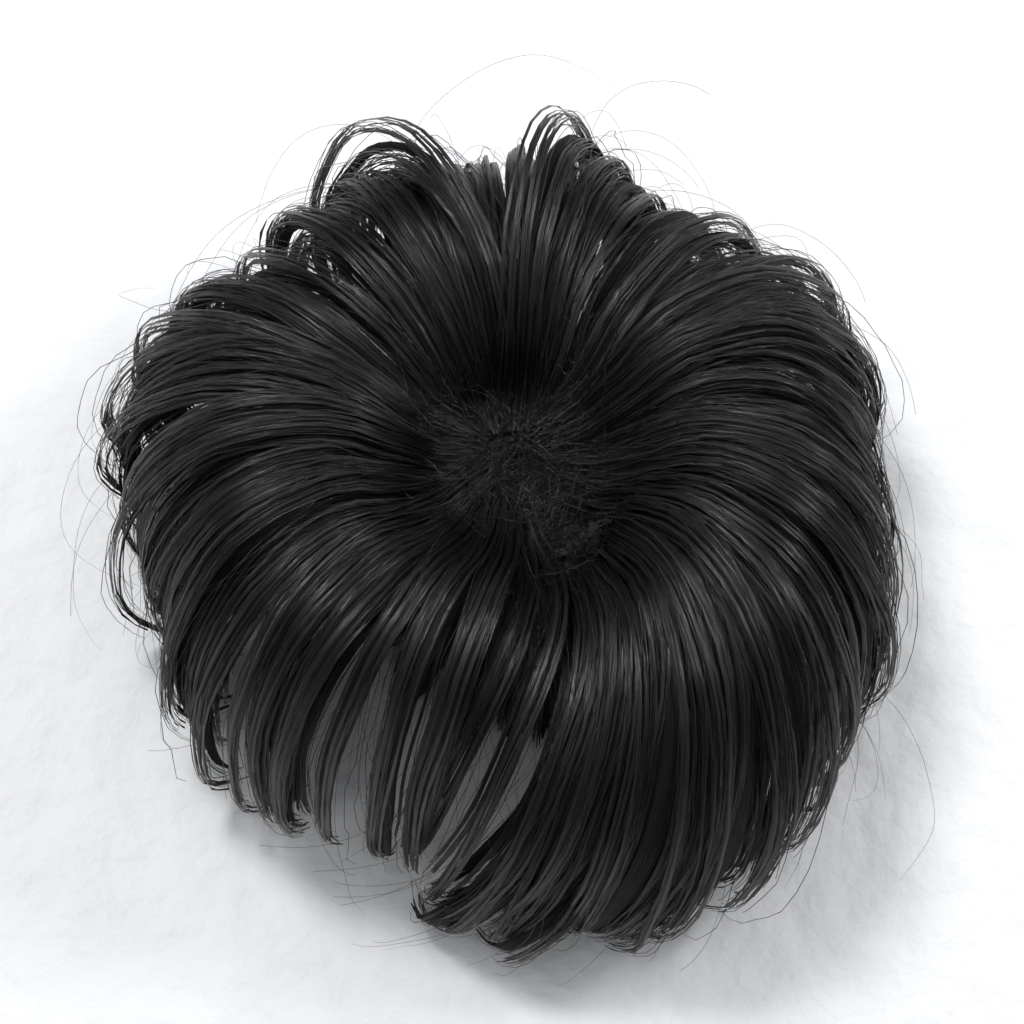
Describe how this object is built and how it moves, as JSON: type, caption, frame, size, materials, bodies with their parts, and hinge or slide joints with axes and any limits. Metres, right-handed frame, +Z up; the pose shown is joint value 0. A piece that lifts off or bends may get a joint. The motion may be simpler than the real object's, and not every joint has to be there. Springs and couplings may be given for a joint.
{
  "type": "top knot hairpiece",
  "caption": "Round top knot hairpiece of loose black curls sewn to a stretch ring, open in the middle for the wearer's own bun.",
  "frame": {"origin": "middle of the bounding box, on the surface that the piece rests on", "axes": "+Z up out of the stretch band's hole, +X to the right and -Y to the front, as the piece is seen lying"},
  "size_m": [0.1812, 0.2002, 0.0826],
  "materials": {
    "hair": "glossy synthetic fibre",
    "elastic_cover": "matte woven cover",
    "weft_tape": "matte sewn tape"
  },
  "bodies": {
    "root": {"stretch_band": "elastic_cover", "weft_tape": "weft_tape", "under_hair": "hair", "hair_back": "hair", "hair_back_right": "hair", "hair_right_back": "hair", "hair_right": "hair", "hair_front_right": "hair", "hair_front": "hair", "hair_front_left": "hair", "hair_left": "hair", "hair_back_left": "hair"}
  },
  "joints": []
}
